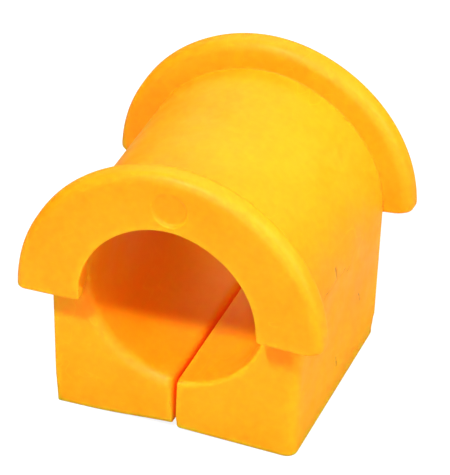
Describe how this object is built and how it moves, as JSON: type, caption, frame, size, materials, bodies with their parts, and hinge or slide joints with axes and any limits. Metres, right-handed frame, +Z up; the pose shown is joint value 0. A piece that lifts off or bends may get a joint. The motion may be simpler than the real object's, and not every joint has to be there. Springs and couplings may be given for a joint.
{
  "type": "sway bar bush",
  "caption": "Split flanged polyurethane bush with an arch on a square block, which opens at its slit to clip over a round sway bar.",
  "frame": {"origin": "centre of the base, on the plane that the bush stands on, below the middle of the bore", "axes": "+Y along the bore, +X across the bush towards right_half, +Z up through the crown of the arch"},
  "size_m": [0.0468, 0.0426, 0.0456],
  "materials": {
    "polyurethane": "satin yellow cast polyurethane"
  },
  "bodies": {
    "left_half": {"left_half": "polyurethane"},
    "right_half": {"right_half": "polyurethane"}
  },
  "joints": [
    {"name": "slit_opening", "type": "hinge", "parent": "left_half", "child": "right_half", "pos_m": [0, 0, 0.0456], "axis": [0, -1, 0], "range_deg": [0, 45], "stiffness_Nm_per_rad": 0.9}
  ]
}
